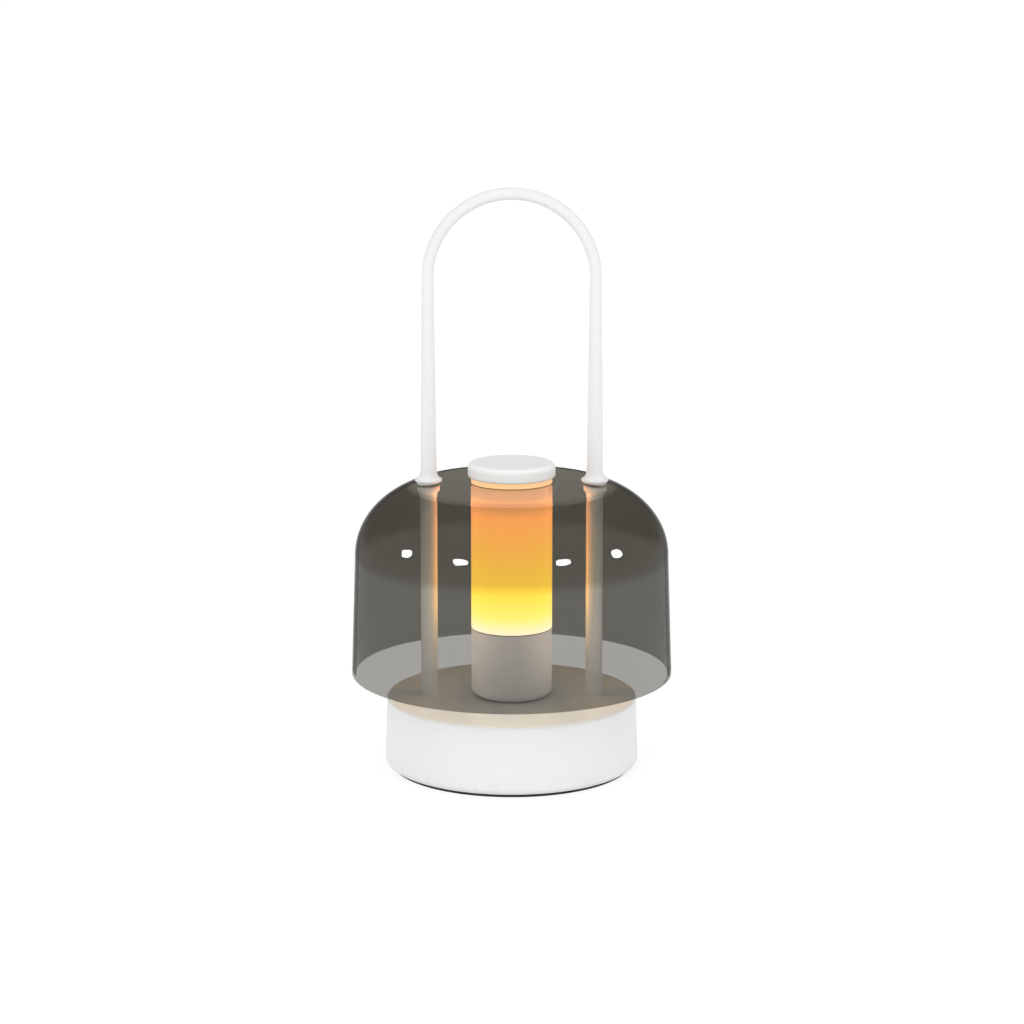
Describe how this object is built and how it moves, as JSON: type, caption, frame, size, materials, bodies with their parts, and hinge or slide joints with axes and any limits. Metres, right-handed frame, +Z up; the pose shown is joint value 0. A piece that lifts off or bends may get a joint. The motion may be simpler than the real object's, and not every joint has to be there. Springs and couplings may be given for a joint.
{
  "type": "lantern table lamp",
  "caption": "Cordless lantern lamp: drum base, open smoked glass bell on two posts, lit diffuser tube with cap and bow handle.",
  "frame": {"origin": "centre of the foot pad's underside, on the surface the lamp stands on", "axes": "+Z up along the tube, +X through the right-hand post seen from the front, -Y towards the front, +Y towards the switch and charging port"},
  "size_m": [0.2, 0.2, 0.3626],
  "materials": {
    "white_paint": "satin white powder coat",
    "white_plastic": "fine satin white plastic",
    "smoked_glass": "smoke grey glass, glossy",
    "lit_diffuser": "frosted glass, glows warm",
    "foot_rubber": "black foam rubber",
    "grey_silicone": "dark grey silicone",
    "white_silicone": "white silicone",
    "steel_plate": "zinc plated",
    "screw_steel": "plated",
    "ballast_iron": "rough cast",
    "sink_aluminium": "machined",
    "nickel": "nickel plated",
    "black_plastic": "moulded",
    "cell_wrap": "shrink sleeve",
    "green_board": "solder mask",
    "white_board": "white solder mask",
    "led_phosphor": "phosphor coat, glows",
    "wire_red": "insulated wire"
  },
  "bodies": {
    "lamp": {"foot_pad": "foot_rubber", "base_shell": "white_paint", "base_plate": "steel_plate", "plate_screws": "screw_steel", "ballast_weight": "ballast_iron", "ballast_screws": "screw_steel", "battery_tray": "black_plastic", "battery_cell_front": "cell_wrap", "battery_cell_rear": "cell_wrap", "cell_contact_left": "nickel", "cell_contact_right": "nickel", "battery_strap": "black_plastic", "tray_screws": "screw_steel", "driver_board": "green_board", "driver_components": "black_plastic", "board_screws": "screw_steel", "rear_board": "green_board", "rear_board_screws": "screw_steel", "charging_socket": "nickel", "door_pin": "screw_steel", "switch_body": "black_plastic", "lamp_holder": "white_paint", "holder_screws": "screw_steel", "heat_sink": "sink_aluminium", "led_board": "white_board", "led_board_screws": "screw_steel", "led_emitter": "led_phosphor", "reflector": "white_plastic", "tube_seal": "grey_silicone", "diffuser_tube": "lit_diffuser", "tube_cap": "white_plastic", "glass_shade": "smoked_glass", "handle": "white_paint", "post_screws": "screw_steel", "wire_grommet": "foot_rubber", "led_wires": "wire_red", "battery_wires": "wire_red", "rear_wires": "wire_red", "support_post_left": "white_paint", "handle_stud_left": "screw_steel", "lower_gasket_left": "white_silicone", "upper_gasket_left": "white_silicone", "handle_collar_left": "white_paint", "support_post_right": "white_paint", "handle_stud_right": "screw_steel", "lower_gasket_right": "white_silicone", "upper_gasket_right": "white_silicone", "handle_collar_right": "white_paint"},
    "button": {"power_button": "white_plastic", "switch_plunger": "black_plastic"},
    "door": {"port_door": "white_plastic"}
  },
  "joints": [
    {"name": "power_button_press", "type": "slide", "parent": "lamp", "child": "button", "axis": [0, -1, 0], "range_m": [0, 0.0008], "stiffness_N_per_m": 2000, "springref_m": -0.0004},
    {"name": "port_door_hinge", "type": "hinge", "parent": "lamp", "child": "door", "pos_m": [0, 0.07761, 0.0104], "axis": [-1, 0, 0], "range_deg": [0, 90]}
  ]
}
